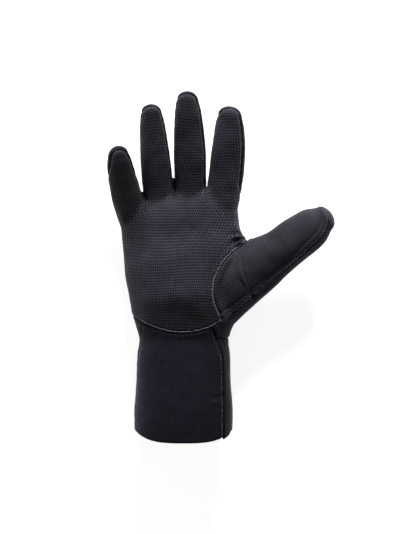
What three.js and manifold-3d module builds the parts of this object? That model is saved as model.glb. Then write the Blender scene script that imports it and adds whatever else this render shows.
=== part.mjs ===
// A diving glove for the right hand, of thick foam neoprene with long cuff and five fingers.
// It lies palm up on its back: +Z comes up out of the palm, +Y runs from the wrist to the fingertips,
// and +X points to the thumb's side. Millimetres.
// The origin lies on the surface that the glove rests on, under the middle of the palm.
//
// The glove is one hollow skin, lofted through the sections of the hand, and is cut into the panels
// that it is sewn from: the palm, the thumb, the back, and the front and back of the cuff.

import * as THREE from 'three';
import { mergeVertices } from 'three/addons/utils/BufferGeometryUtils.js';
import Module from 'manifold-3d';

const wasm = await Module();
wasm.setup();

// Lengths along the hand
const cuffLength = 88.5;
const handLength = 127; // from the wrist seam to the webs between the fingers
const originFromWrist = 67.3;
const hemCurve = 9; // how much further the middle of the hem hangs than its two sides

// Widths and depths of the cuff and hand
const cuffWidth = 84;
const cuffDepth = 54;
const wristWidth = 77;
const wristDepth = 46;
const palmWidth = 102.4;
const palmDepth = 50;
const knuckleDepth = 33;
const restFlat = 1.2; // how deep the soft back is pressed flat where it lies

// Walls and clearances
const handWall = 6;
const fingerWall = 4.5;
const seamGap = 0.3;
const cutTolerance = 0.02;

// Fingers: each length runs from the finger's root, inside the palm, to its tip. The seams down
// its two sides lie above or below its middle by a share of its half depth, and bow is a share of
// its width. Full says how much of the extra width of a straight-sided finger it has.
const fingerDepthShare = 0.94; // depth of a finger over its width
const tipDome = 8.5; // length of the rounded fingertip
const capLength = 2.4; // how far the back panel folds over each fingertip
const littleLength = 70.5;
const ringLength = 95.2;
const middleLength = 106.2;
const indexLength = 93.5;
const littleWidth = 26.6;
const ringWidth = 26.4;
const middleWidth = 27.7;
const indexWidth = 30.4;
const middleRise = 17; // how far the two middle fingers climb from root to tip
const outerRise = 15; // the same for the little finger and the index finger
const fingers = [
  { name: 'little', length: littleLength, width: littleWidth, lean: -12.6, bow: -0.07, rise: outerRise,
    full: 0, rootAcross: -0.395, rootBack: 0.24, leftSeam: 0.68, rightSeam: 0.25 },
  { name: 'ring', length: ringLength, width: ringWidth, lean: -5, bow: -0.004, rise: middleRise,
    full: 0.3, rootAcross: -0.183, rootBack: 0.165, leftSeam: -0.4, rightSeam: 0.38 },
  { name: 'middle', length: middleLength, width: middleWidth, lean: -1.6, bow: 0.036, rise: middleRise,
    full: 1, rootAcross: 0.071, rootBack: 0.165, leftSeam: -0.4, rightSeam: 0.48 },
  { name: 'index', length: indexLength, width: indexWidth, lean: 5.2, bow: 0.08, rise: outerRise,
    full: 0.7, rootAcross: 0.32, rootBack: 0.165, leftSeam: -0.4, rightSeam: 0.7 },
];

// Thumb
const thumbLength = 115.6;
const thumbWidth = 38;
const thumbDepth = 31;
const thumbLean = 52.9;
const thumbRise = 10;
const thumbDome = 9;
const thumbRootAcross = 0.353; // share of the palm's width
const thumbRootAlong = 0.3; // share of the hand's length

// Seams on the palm's side
const palmSeamLow = 5; // lowest point of the palm's lower seam, above the wrist seam
const palmSeamRise = 12.5; // how far that seam climbs at the side of the wrist
const cuffSeamInset = 7; // from the cuff's thumb side in to its long seam
const edgeWrap = 6; // how far the palm panel wraps round the edges of the hand, below their middle
const thumbWrap = 7; // the same on the thumb's side towards the index finger
const webHeight = 15; // of the seam in the webs between the fingers
const seamTurn = { from: 0.892, to: 1.05 }; // shares of the hand's length, where the seams turn onto the fingers
const littleTurn = 0.11; // how much further along that is on the little finger
const besideHand = 0.12; // from the hand's edge to where its seam meets the thumb's, over the palm's width

// Sides of the lofted tubes, outside and inside
const bodySides = 40;
const bodyInnerSides = 24;
const fingerSides = 20;
const fingerInnerSides = 10;
const thumbSides = 24;
const thumbInnerSides = 12;

const wristY = -originFromWrist;
const hemY = wristY - cuffLength;
const knuckleY = wristY + handLength;
const farAway = 400; // beyond every piece, for the cutting solids
const onCuff = (share) => hemY + share * cuffLength;
const onHand = (share) => wristY + share * handLength;

// Cross-sections of the cuff and hand, from the hem to the webs. Shift moves a section across, by a
// share of the palm's width, under lifts its lower side off the surface, by a share of the palm's
// depth, and slant turns it to follow the row of knuckles.
const bodySections = [
  { y: onCuff(0), wide: cuffWidth, deep: cuffDepth, shift: 0.014, under: 0 },
  { y: onCuff(0.3), wide: 1.01 * cuffWidth, deep: 0.98 * cuffDepth, shift: 0.014, under: 0 },
  { y: onCuff(0.6), wide: 0.965 * cuffWidth, deep: 0.94 * cuffDepth, shift: 0.014, under: 0 },
  { y: onCuff(0.85), wide: 1.04 * wristWidth, deep: 1.04 * wristDepth, shift: 0.015, under: 0.012 },
  { y: onHand(0), wide: wristWidth, deep: wristDepth, shift: 0.0165, under: 0.024 },
  { y: onHand(0.08), wide: 1.085 * wristWidth, deep: 1.03 * wristDepth, shift: 0.022, under: 0.018 },
  { y: onHand(0.18), wide: 0.9 * palmWidth, deep: 0.97 * palmDepth, shift: 0.026, under: 0 },
  { y: onHand(0.29), wide: 0.91 * palmWidth, deep: palmDepth, shift: 0.006, under: 0 },
  { y: onHand(0.42), wide: 0.965 * palmWidth, deep: 0.97 * palmDepth, shift: 0.003, under: 0 },
  { y: onHand(0.58), wide: 0.99 * palmWidth, deep: 0.91 * palmDepth, shift: 0, under: 0, slant: 1 },
  { y: onHand(0.73), wide: palmWidth, deep: 0.83 * palmDepth, shift: -0.012, under: 0, slant: 4 },
  { y: onHand(0.85), wide: 0.985 * palmWidth, deep: 1.12 * knuckleDepth, shift: -0.022, under: 0.024, slant: 8 },
  { y: onHand(0.92), wide: 0.94 * palmWidth, deep: 0.97 * knuckleDepth, shift: -0.012, under: 0.048, slant: 9.5 },
  { y: onHand(0.97), wide: 0.89 * palmWidth, deep: 0.77 * knuckleDepth, shift: -0.004, under: 0.1, slant: 10 },
  { y: onHand(1), wide: 0.84 * palmWidth, deep: 0.47 * knuckleDepth, shift: 0, under: 0.19, slant: 10 },
];
const bodySquareness = 2.25; // exponent of the rounded sections, 2 being an ellipse

// Shape of a finger: wide is a share of its width, at a share of its length, and extra is what a
// straight-sided finger adds to that share.
const fingerProfile = [
  { at: -0.14, wide: 0.76, extra: 0 },
  { at: 0, wide: 0.9, extra: 0 },
  { at: 0.17, wide: 0.97, extra: -0.02 },
  { at: 0.38, wide: 1, extra: -0.005 },
  { at: 0.5, wide: 0.96, extra: 0.04 },
  { at: 0.62, wide: 0.91, extra: 0.06 },
  { at: 0.74, wide: 0.84, extra: 0.06 },
  { at: 0.84, wide: 0.77, extra: 0.04 },
];
const domeWide = 0.69; // width where the rounded tip starts
const domeSteps = [0, 0.45, 0.78, 0.95]; // shares of the dome's length

// Shape of the thumb, in shares of its width, depth and length. Side moves a section away
// from the index finger, by a share of the thumb's width.
const thumbProfile = [
  { at: -0.17, wide: 1.42, deep: 1, side: -0.006 },
  { at: -0.09, wide: 1.42, deep: 1.16, side: -0.016 },
  { at: 0.02, wide: 1.35, deep: 1.26, side: -0.016 },
  { at: 0.14, wide: 1.28, deep: 1.26, side: -0.016 },
  { at: 0.27, wide: 1.25, deep: 1.15, side: -0.03 },
  { at: 0.375, wide: 1.215, deep: 1.07, side: -0.044 },
  { at: 0.44, wide: 1.14, deep: 1.02, side: -0.036 },
  { at: 0.52, wide: 1.04, deep: 1, side: -0.011 },
  { at: 0.66, wide: 1, deep: 0.97, side: -0.013 },
  { at: 0.77, wide: 0.95, deep: 0.92, side: 0.004 },
  { at: 0.86, wide: 0.84, deep: 0.81, side: -0.001 },
];
const thumbDomeWide = 0.63;

// Seams of the thumb, seen from above the palm: along is a share of the thumb's length from its root,
// and across a share of its width, positive on the side away from the index finger.
const thumbOuterSeam = [
  { along: -0.12, across: 0.42 },
  { along: 0.05, across: 0.43 },
  { along: 0.18, across: 0.4 },
  { along: 0.35, across: 0.39 },
  { along: 0.55, across: 0.35 },
  { along: 0.72, across: 0.3 },
  { along: 0.82, across: 0.26 },
  { along: 0.9, across: 0.16 },
  { along: 0.95, across: 0.02 },
  { along: 0.965, across: -0.16 },
];
const thumbPalmSeam = [
  { along: -0.125, across: 0.42 },
  { along: -0.105, across: 0.2 },
  { along: -0.085, across: 0 },
  { along: -0.056, across: -0.175 },
  { along: -0.014, across: -0.32 },
  { along: 0.047, across: -0.45 },
  { along: 0.126, across: -0.575 },
  { along: 0.208, across: -0.627 },
  { along: 0.292, across: -0.645 },
  { along: 0.38, across: -0.66 },
];

// The cuff's long seam on the thumb's side: along is a share of the cuff's length down from the wrist seam,
// and in says how much further in than its inset it lies there, as a share of the wrist's width.
const cuffSeam = [
  { along: -0.11, in: 0.115 },
  { along: 0, in: 0.085 },
  { along: 0.12, in: 0.03 },
  { along: 0.3, in: 0.005 },
  { along: 0.5, in: 0 },
  { along: 1.2, in: 0 },
];

// Turns a closed geometry into a solid.
function solid(geometry) {
  const bare = geometry.clone();
  bare.deleteAttribute('normal');
  bare.deleteAttribute('uv');
  const merged = mergeVertices(bare, 1e-4);
  return new wasm.Manifold(new wasm.Mesh({
    numProp: 3,
    vertProperties: merged.attributes.position.array,
    triVerts: new Uint32Array(merged.index.array),
  }));
}

// Closed skin through rings that all have the same number of points, with a fan over each end.
function skin(rings) {
  const sides = rings[0].length;
  const positions = [];
  const index = [];
  const middle = (ring) => ring.reduce((sum, p) => sum.add(p), new THREE.Vector3()).divideScalar(ring.length);
  for (const ring of rings) {
    for (const point of ring) positions.push(point.x, point.y, point.z);
  }
  const start = rings.length * sides;
  const end = start + 1;
  positions.push(...middle(rings[0]).toArray(), ...middle(rings[rings.length - 1]).toArray());
  for (let j = 0; j < sides; j++) {
    const next = (j + 1) % sides;
    for (let i = 0; i + 1 < rings.length; i++) {
      const low = i * sides;
      const high = low + sides;
      index.push(low + j, high + j, high + next, low + j, high + next, low + next);
    }
    const last = start - sides;
    index.push(start, j, next, end, last + next, last + j);
  }
  const geometry = new THREE.BufferGeometry();
  geometry.setAttribute('position', new THREE.Float32BufferAttribute(positions, 3));
  geometry.setIndex(index);
  return solid(geometry);
}

// One rounded ring of a section: square is the exponent of the superellipse, grow widens it all round.
function ring(section, sides, grow) {
  const points = [];
  const softened = (value) => Math.sign(value) * Math.abs(value) ** (2 / section.square);
  for (let j = 0; j < sides; j++) {
    const angle = (2 * Math.PI * (j + 0.5)) / sides;
    points.push(section.centre.clone()
      .addScaledVector(section.right, (section.halfWidth + grow) * softened(Math.cos(angle)))
      .addScaledVector(section.up, (section.halfDepth + grow) * softened(Math.sin(angle))));
  }
  return points;
}

// Upright prism over an outline seen from above the palm.
function prism(outline) {
  const shape = new THREE.Shape(outline);
  const geometry = new THREE.ExtrudeGeometry(shape, { depth: 2 * farAway, bevelEnabled: false });
  geometry.translate(0, 0, -farAway);
  return solid(geometry);
}

// Moves a line of points sideways, to its left as seen along it.
function shifted(line, distance) {
  return line.map((point, i) => {
    const before = line[Math.max(i - 1, 0)];
    const after = line[Math.min(i + 1, line.length - 1)];
    const along = after.clone().sub(before).normalize();
    return new THREE.Vector2(point.x - along.y * distance, point.y + along.x * distance);
  });
}

// The body: cuff and hand up to the webs between the fingers
const sections = bodySections.map((row) => {
  const slant = THREE.MathUtils.degToRad(row.slant ?? 0);
  const bottom = row.under * palmDepth - restFlat;
  return {
    centre: new THREE.Vector3(row.shift * palmWidth, row.y, bottom + row.deep / 2),
    right: new THREE.Vector3(Math.cos(slant), Math.sin(slant), 0),
    up: new THREE.Vector3(0, 0, 1),
    halfWidth: row.wide / 2,
    halfDepth: row.deep / 2,
    square: bodySquareness,
  };
});

function body() {
  return skin(sections.map((section) => ring(section, bodySides, 0)));
}

// The hollow of the body, which runs out through the hem.
function bodyHollow() {
  const rows = sections.map((section, i) => {
    const centre = section.centre.clone();
    if (i === 0) centre.y -= handWall;
    if (i === sections.length - 1) centre.y -= handWall;
    return ring({ ...section, centre }, bodyInnerSides, -handWall);
  });
  return skin(rows);
}

// How far a digit's centre line swings across, halfway between its root and its tip the most.
function bowed(digit, at) {
  return digit.bow * digit.width * 4 * at * (1 - at);
}

// Sections of a finger or thumb along its centre line, which rises towards the tip.
function digitSections(digit) {
  const lean = THREE.MathUtils.degToRad(digit.lean);
  const flat = new THREE.Vector3(Math.sin(lean), Math.cos(lean), 0);
  const right = new THREE.Vector3(Math.cos(lean), -Math.sin(lean), 0);
  const place = (at) => digit.root.clone()
    .addScaledVector(flat, at * digit.length)
    .addScaledVector(right, bowed(digit, at))
    .setZ(digit.root.z + digit.rise * Math.sign(at) * Math.abs(at) ** 1.5);
  const make = (at, wide, deep, side = 0) => {
    const ahead = place(at + 0.01).sub(place(at - 0.01)).normalize();
    return {
      centre: place(at).addScaledVector(right, side),
      right,
      up: new THREE.Vector3().crossVectors(right, ahead),
      halfWidth: 0.5 * wide,
      halfDepth: 0.5 * deep,
      square: 2,
    };
  };
  const shaft = digit.profile.map((row) => {
    const wide = row.wide + digit.full * (row.extra ?? 0);
    return make(row.at, wide * digit.width, (row.deep ?? wide) * digit.depth, (row.side ?? 0) * digit.width);
  });
  const dome = domeSteps.map((step) => {
    const round = Math.sqrt(1 - step ** 2);
    const at = 1 - (digit.dome * (1 - step)) / digit.length;
    const lastSide = digit.profile[digit.profile.length - 1].side ?? 0;
    return make(at, round * digit.domeWide * digit.width, round * digit.domeWide * digit.depth,
      0.75 * lastSide * digit.width);
  });
  return [...shaft, ...dome];
}

function digitSolid(digit, sides) {
  return skin(digitSections(digit).map((section) => ring(section, sides, 0)));
}

// The hollow of a digit, one wall shorter at the tip.
function digitHollow(digit, sides) {
  const shorter = { ...digit, length: digit.length - fingerWall };
  const wall = (section) => Math.min(fingerWall, 0.6 * section.halfWidth, 0.6 * section.halfDepth);
  return skin(digitSections(shorter).map((section) => ring(section, sides, -wall(section))));
}

const digits = fingers.map((finger) => ({
  ...finger,
  depth: finger.width * fingerDepthShare,
  root: new THREE.Vector3(finger.rootAcross * palmWidth, knuckleY - finger.rootBack * handLength,
    0.56 * knuckleDepth),
  profile: fingerProfile,
  dome: tipDome,
  domeWide,
}));
const thumb = {
  bow: 0,
  full: 0,
  length: thumbLength,
  width: thumbWidth,
  depth: thumbDepth,
  lean: thumbLean,
  rise: thumbRise,
  root: new THREE.Vector3(thumbRootAcross * palmWidth, onHand(thumbRootAlong), 0.46 * palmDepth),
  profile: thumbProfile,
  dome: thumbDome,
  domeWide: thumbDomeWide,
};

// Everything above the surface in which the seams run along both sides of the hand and digits.
// The surface is a row of columns at each step along the hand, and grow lowers it.
function palmSide(grow) {
  const turnsFrom = onHand(seamTurn.from);
  const turnsTo = onHand(seamTurn.to);
  const smooth = (y) => THREE.MathUtils.smoothstep(y, turnsFrom, turnsTo);
  const thumbSlope = thumbRise / (thumbLength * Math.sin(THREE.MathUtils.degToRad(thumbLean)));
  const thumbPlane = (x) => thumb.root.z - thumbWrap + thumbSlope * (x - thumb.root.x);
  const rows = [hemY - 0.2 * cuffLength];
  for (const section of sections.slice(1, 8)) rows.push(section.centre.y);
  for (let share = seamTurn.from - 0.16; share < seamTurn.to; share += 0.04) rows.push(onHand(share));
  for (let y = turnsTo; y < knuckleY + middleLength; y += 0.11 * middleLength) rows.push(y);
  const rings = rows.map((y) => {
    const next = Math.max(1, sections.findIndex((section) => section.centre.y > y));
    const here = y < knuckleY ? next : sections.length - 1;
    const [low, high] = [sections[here - 1], sections[here]];
    const share = Math.min(1, Math.max(0, (y - low.centre.y) / (high.centre.y - low.centre.y)));
    const middle = low.centre.clone().lerp(high.centre, share);
    const halfWidth = THREE.MathUtils.lerp(low.halfWidth, high.halfWidth, share);
    const inHand = THREE.MathUtils.smoothstep(y, wristY, wristY + 0.3 * handLength);
    const edge = middle.z - edgeWrap * inHand;
    const nearWebs = THREE.MathUtils.smoothstep(y, wristY + 0.5 * handLength, wristY + 0.9 * handLength);
    const web = THREE.MathUtils.lerp(edge, webHeight, nearWebs);
    const columns = [{ x: -farAway, z: 0 }];
    for (const digit of digits) {
      const lean = THREE.MathUtils.degToRad(digit.lean);
      const reach = Math.max(0, (y - digit.root.y) / Math.cos(lean));
      const at = reach / digit.length;
      const x = digit.root.x + reach * Math.sin(lean) + (at < 1 ? bowed(digit, at) : 0);
      const z = digit.root.z + digit.rise * at ** 1.5;
      const first = digit === digits[0];
      const last = digit === digits[digits.length - 1];
      const leftStart = first ? edge : web;
      const rightStart = last ? edge : web;
      const turn = smooth(y - (first ? littleTurn * handLength : 0));
      const left = THREE.MathUtils.lerp(leftStart, z + 0.5 * digit.leftSeam * digit.depth, turn);
      const right = THREE.MathUtils.lerp(rightStart, z + 0.5 * digit.rightSeam * digit.depth, turn);
      const halfDigit = 0.49 * digit.width;
      const before = columns[columns.length - 1];
      const crossed = Math.max(0, 0.5 * (before.x - (x - halfDigit)) + 0.2);
      before.x -= crossed;
      columns.push({ x: x - halfDigit + crossed, z: left });
      columns.push({ x, z: 0.5 * (left + right) }, { x: x + halfDigit, z: right });
    }
    columns[0].z = columns[1].z;
    const beside = Math.max(columns[columns.length - 1].x, middle.x + halfWidth) + besideHand * palmWidth;
    const besideZ = y < thumb.root.y ? edge : thumbPlane(beside);
    columns.push({ x: beside, z: besideZ }, { x: farAway, z: besideZ + thumbSlope * (farAway - beside) });
    const lower = columns.map((column) => new THREE.Vector3(column.x, y, column.z - grow));
    return [...lower, new THREE.Vector3(farAway, y, farAway), new THREE.Vector3(-farAway, y, farAway)];
  });
  return skin(rings);
}

// A point of the thumb's plan, from shares of its length and width.
function thumbPoint({ along, across }) {
  const lean = THREE.MathUtils.degToRad(thumbLean);
  const ahead = along * thumbLength;
  const side = across * thumbWidth;
  return new THREE.Vector2(
    thumb.root.x + ahead * Math.sin(lean) + side * Math.cos(lean),
    thumb.root.y + ahead * Math.cos(lean) - side * Math.sin(lean));
}

// The lower seam of the palm, from the left side of the wrist to the thumb's outer seam.
function palmSeam() {
  const end = thumbPoint(thumbOuterSeam[0]);
  const half = wristWidth / 2;
  const steps = 12;
  const from = -1.5 * half;
  const line = [];
  for (let i = 0; i < steps; i++) {
    const x = from + ((end.x - 0.6 * palmSeamRise - from) * i) / (steps - 1);
    line.push(new THREE.Vector2(x, wristY + palmSeamLow + palmSeamRise * (x / half) ** 2));
  }
  return line;
}

// Round end of the palm panel on a fingertip, short of the tip by the fold of the back panel.
function tipArc(digit, grow) {
  const lean = THREE.MathUtils.degToRad(digit.lean);
  const radius = 0.5 * digit.domeWide * digit.width + grow;
  const back = digit.length - capLength - 0.5 * digit.domeWide * digit.width;
  const swing = bowed(digit, back / digit.length);
  const middle = new THREE.Vector2(
    digit.root.x + back * Math.sin(lean) + swing, digit.root.y + back * Math.cos(lean));
  const steps = 10;
  const arc = [];
  for (let i = 0; i <= steps; i++) {
    const angle = (Math.PI * i) / steps;
    const across = 1.12 * radius * Math.cos(angle);
    const ahead = radius * Math.sin(angle);
    arc.push(new THREE.Vector2(
      middle.x + across * Math.cos(lean) + ahead * Math.sin(lean),
      middle.y - across * Math.sin(lean) + ahead * Math.cos(lean)));
  }
  const flare = 0.62 * digit.width;
  const behindTip = 0.43 * digit.width;
  const foot = (sign) => new THREE.Vector2(
    middle.x + sign * flare * Math.cos(lean) - behindTip * Math.sin(lean),
    middle.y - sign * flare * Math.sin(lean) - behindTip * Math.cos(lean));
  return [foot(1), ...arc, foot(-1)];
}

// Outline of everything above the palm's lower seam and inside of the thumb's outer seam.
function frontOutline(grow) {
  const seam = [...palmSeam(), ...thumbOuterSeam.map(thumbPoint)];
  const line = shifted(seam, -grow);
  const tip = thumbPoint({ along: 1.05, across: -0.7 });
  const tips = [...digits].reverse().flatMap((digit) => tipArc(digit, grow));
  return [
    ...line, tip, ...tips, new THREE.Vector2(-farAway, tips[tips.length - 1].y),
    new THREE.Vector2(-farAway, line[0].y),
  ];
}

// Outline of the thumb panel, on the thumb's side of its curved seam in the palm.
function thumbOutline(grow) {
  const seam = thumbPalmSeam.map(thumbPoint);
  const line = shifted(seam, grow);
  const beyond = thumbPoint({ along: 0.62, across: -1.6 });
  const wrist = thumbPoint({ along: -0.16, across: 0.9 });
  return [
    wrist, ...line, beyond, new THREE.Vector2(farAway, beyond.y), new THREE.Vector2(farAway, wrist.y),
  ];
}

// Outline of the front of the cuff, below the palm's seam and left of the long cuff seam.
function cuffOutline(grow) {
  const top = shifted(palmSeam(), grow);
  const long = shifted(cuffSeam.map(({ along, in: inward }) => new THREE.Vector2(
    cuffWidth / 2 - cuffSeamInset - inward * wristWidth, wristY - along * cuffLength)), grow);
  const above = top.filter((point) => point.x < long[0].x - 1);
  return [
    ...above, ...long, new THREE.Vector2(-farAway, long[long.length - 1].y),
    new THREE.Vector2(-farAway, above[0].y),
  ];
}

// Half-space of one side of the wrist seam round the back.
function beyondWrist(sign, grow) {
  const edge = wristY - sign * grow;
  return prism([
    new THREE.Vector2(-farAway, edge), new THREE.Vector2(farAway, edge),
    new THREE.Vector2(farAway, sign * farAway), new THREE.Vector2(-farAway, sign * farAway),
  ]);
}

// The hem hangs lowest in the middle of the front and back.
function hemTrim() {
  const hem = sections[0];
  const steps = 16;
  const shape = new THREE.Shape();
  const curve = (height) => hemY + hemCurve * Math.max(0, 1 - (height / hem.halfDepth) ** 2) ** 1.5;
  const reach = 1.2 * hem.halfDepth;
  shape.moveTo(hemY - farAway, -reach);
  for (let i = 0; i <= steps; i++) {
    const height = -reach + (2 * reach * i) / steps;
    shape.lineTo(curve(height), height);
  }
  shape.lineTo(hemY - farAway, reach);
  const geometry = new THREE.ExtrudeGeometry(shape, { depth: 2 * farAway, bevelEnabled: false });
  geometry.translate(0, 0, -farAway);
  geometry.applyMatrix4(new THREE.Matrix4().makeBasis(
    new THREE.Vector3(0, 1, 0), new THREE.Vector3(0, 0, 1), new THREE.Vector3(1, 0, 0)));
  geometry.translate(0, 0, hem.centre.z);
  return solid(geometry);
}

const joined = (solids) => solids.reduce((sum, one) => sum.add(one));

const floor = new THREE.BoxGeometry(2 * farAway, 2 * farAway, farAway).translate(0, 0, -farAway / 2);
const outside = joined([
  body(), ...digits.map((digit) => digitSolid(digit, fingerSides)), digitSolid(thumb, thumbSides),
]).subtract(solid(floor)).subtract(hemTrim());
const hollow = joined([
  bodyHollow(),
  ...digits.map((digit) => digitHollow(digit, fingerInnerSides)),
  digitHollow(thumb, thumbInnerSides),
]);
const shell = outside.subtract(hollow);

const half = seamGap / 2;
const inner = shell.intersect(palmSide(-half));
const front = inner.intersect(prism(frontOutline(-half)));
const behind = shell
  .subtract(palmSide(half).intersect(prism(frontOutline(half))))
  .subtract(palmSide(half).intersect(prism(cuffOutline(half))));
const panels = {
  palm_panel: front.subtract(prism(thumbOutline(half))),
  thumb_panel: front.intersect(prism(thumbOutline(-half))),
  back_panel: behind.intersect(beyondWrist(1, -half)),
  cuff_front_panel: inner.intersect(prism(cuffOutline(-half))),
  cuff_back_panel: behind.intersect(beyondWrist(-1, -half)),
};

const materials = {
  gripNeoprene: new THREE.MeshStandardMaterial({ color: 0x25252c, roughness: 0.78, metalness: 0 }),
  smoothNeoprene: new THREE.MeshStandardMaterial({ color: 0x1a1b22, roughness: 0.85, metalness: 0 }),
};
const finishes = {
  palm_panel: materials.gripNeoprene,
  thumb_panel: materials.gripNeoprene,
  back_panel: materials.smoothNeoprene,
  cuff_front_panel: materials.smoothNeoprene,
  cuff_back_panel: materials.smoothNeoprene,
};

// The largest body of a cut panel, without the crumbs and hair-thin edges that cuts leave.
function cleaned(panel) {
  const bodies = panel.setTolerance(cutTolerance).decompose();
  return bodies.reduce((best, body) => (body.volume() > best.volume() ? body : best));
}

function meshOf(name, panel) {
  const { vertProperties, triVerts } = cleaned(panel).getMesh();
  const geometry = new THREE.BufferGeometry();
  geometry.setAttribute('position', new THREE.Float32BufferAttribute(vertProperties, 3));
  geometry.setIndex(new THREE.Uint32BufferAttribute(triVerts, 1));
  geometry.computeVertexNormals();
  const mesh = new THREE.Mesh(geometry, finishes[name]);
  mesh.name = name;
  return mesh;
}

const glove = new THREE.Group();
glove.name = 'diving_glove';
for (const [name, panel] of Object.entries(panels)) glove.add(meshOf(name, panel));

export default glove;
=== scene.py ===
import math

import bpy
import numpy as np
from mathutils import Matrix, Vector, kdtree
from mathutils.bvhtree import BVHTree


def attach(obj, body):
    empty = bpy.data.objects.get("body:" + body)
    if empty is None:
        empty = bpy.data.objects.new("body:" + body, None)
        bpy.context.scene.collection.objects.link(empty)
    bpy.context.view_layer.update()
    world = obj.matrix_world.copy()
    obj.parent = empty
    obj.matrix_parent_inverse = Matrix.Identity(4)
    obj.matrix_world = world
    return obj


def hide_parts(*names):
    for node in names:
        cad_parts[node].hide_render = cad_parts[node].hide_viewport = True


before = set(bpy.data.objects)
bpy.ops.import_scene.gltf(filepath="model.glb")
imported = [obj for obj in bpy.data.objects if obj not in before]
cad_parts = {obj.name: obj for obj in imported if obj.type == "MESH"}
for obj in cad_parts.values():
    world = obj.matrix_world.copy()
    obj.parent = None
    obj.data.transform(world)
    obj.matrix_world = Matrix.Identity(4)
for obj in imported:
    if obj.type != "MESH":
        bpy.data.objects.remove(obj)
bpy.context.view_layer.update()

mm = 0.001
rng = np.random.default_rng(7)
print("frame loaded with", len(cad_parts), "solids")

# The glove lies palm up on its back: fingers along +Y, thumb towards +X, palm towards +Z.
# Lengths are millimetres here, and turn to metres when a mesh is made.
hand = {
    "cuffLength": 88.5, "handLength": 127.0, "wristToOrigin": 67.3, "hemCurve": 9.0,
    "cuffWidth": 84.0, "cuffDepth": 54.0, "wristWidth": 77.0, "wristDepth": 46.0,
    "palmWidth": 102.4, "palmDepth": 50.0, "knuckleDepth": 33.0,
    "restFlat": 1.2, "squareness": 2.25, "handWall": 6.0, "fingerWall": 4.5,
}
wristY = -hand["wristToOrigin"]
hemY = wristY - hand["cuffLength"]
knuckleY = wristY + hand["handLength"]


def onCuff(share):
    return hemY + share * hand["cuffLength"]


def onHand(share):
    return wristY + share * hand["handLength"]


cw, cd = hand["cuffWidth"], hand["cuffDepth"]
ww, wd = hand["wristWidth"], hand["wristDepth"]
pw, pd, kd = hand["palmWidth"], hand["palmDepth"], hand["knuckleDepth"]

# y, width, depth, shift across, lift of the underside, slant in degrees
bodyRows = np.array([
    (hemY - 14, cw, cd, 1.43, 0, 0),
    (onCuff(0), cw, cd, 1.43, 0, 0),
    (onCuff(0.3), 1.01 * cw, 0.98 * cd, 1.43, 0, 0),
    (onCuff(0.6), 0.965 * cw, 0.94 * cd, 1.43, 0, 0),
    (onCuff(0.85), 1.04 * ww, 1.04 * wd, 1.54, 0.6, 0),
    (onHand(0), ww, wd, 1.69, 1.2, 0),
    (onHand(0.08), 1.085 * ww, 1.03 * wd, 2.25, 0.9, 0),
    (onHand(0.18), 0.9 * pw, 0.97 * pd, 2.66, 0, 0),
    (onHand(0.29), 0.91 * pw, pd, 0.61, 0, 0),
    (onHand(0.42), 0.965 * pw, 0.97 * pd, 0.31, 0, 0),
    (onHand(0.58), 0.99 * pw, 0.91 * pd, 0, 0, 1),
    (onHand(0.73), pw, 0.83 * pd, -1.23, 0, 4),
    (onHand(0.85), 0.985 * pw, 1.12 * kd, -2.25, 1.2, 8),
    (onHand(0.92), 0.94 * pw, 0.97 * kd, -1.23, 2.4, 9.5),
    (onHand(0.97), 0.89 * pw, 0.77 * kd, -0.41, 5, 10),
    (onHand(1), 0.84 * pw, 0.47 * kd, 0, 9.5, 10),
])

# Fingers: the two seams lie above or below a finger's middle by a share of its half depth, and full
# says how much of a straight-sided finger's extra width it has.
fingers = [
    {"name": "little", "length": 70.5, "width": 26.6, "lean": -12.6, "bow": -1.86, "rise": 15, "full": 0,
     "root": (-0.395 * pw, onHand(0.76)), "leftSeam": 0.68, "rightSeam": 0.25},
    {"name": "ring", "length": 95.2, "width": 26.4, "lean": -5, "bow": -0.11, "rise": 17, "full": 0.3,
     "root": (-0.183 * pw, onHand(0.835)), "leftSeam": -0.4, "rightSeam": 0.38},
    {"name": "middle", "length": 106.2, "width": 27.7, "lean": -1.6, "bow": 1, "rise": 17, "full": 1,
     "root": (0.071 * pw, onHand(0.835)), "leftSeam": -0.4, "rightSeam": 0.48},
    {"name": "index", "length": 93.5, "width": 30.4, "lean": 5.2, "bow": 2.43, "rise": 15, "full": 0.7,
     "root": (0.32 * pw, onHand(0.835)), "leftSeam": -0.4, "rightSeam": 0.7},
]
# share of the length, of the width, and what a straight-sided finger adds to that
fingerRows = np.array([
    (-0.14, 0.76, 0), (0, 0.9, 0), (0.17, 0.97, -0.02), (0.38, 1, -0.005),
    (0.5, 0.96, 0.04), (0.62, 0.91, 0.06), (0.74, 0.84, 0.06), (0.84, 0.77, 0.04),
])
for finger in fingers:
    finger["depth"] = 0.94 * finger["width"]
    finger["rootZ"] = 0.56 * kd
    finger["dome"] = 8.5
    finger["domeWide"] = 0.69
    wide = fingerRows[:, 1] + finger["full"] * fingerRows[:, 2]
    finger["rows"] = np.stack([fingerRows[:, 0], wide, wide, 0 * wide], 1)
# share of the length, width, depth and sideways shift as shares of the thumb's own
thumb = {
    "name": "thumb", "length": 115.6, "width": 38, "depth": 31, "lean": 52.9, "bow": 0, "rise": 10,
    "root": (0.353 * pw, onHand(0.3)), "rootZ": 0.46 * pd, "dome": 9, "domeWide": 0.63,
    "rows": np.array([
        (-0.17, 1.42, 1, -0.006), (-0.09, 1.42, 1.16, -0.016), (0.02, 1.35, 1.26, -0.016),
        (0.14, 1.28, 1.26, -0.016), (0.27, 1.25, 1.15, -0.03), (0.375, 1.215, 1.07, -0.044),
        (0.44, 1.14, 1.02, -0.036), (0.52, 1.04, 1, -0.011), (0.66, 1, 0.97, -0.013),
        (0.77, 0.95, 0.92, 0.004), (0.86, 0.84, 0.81, -0.001),
    ]),
}
digits = fingers + [thumb]


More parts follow.
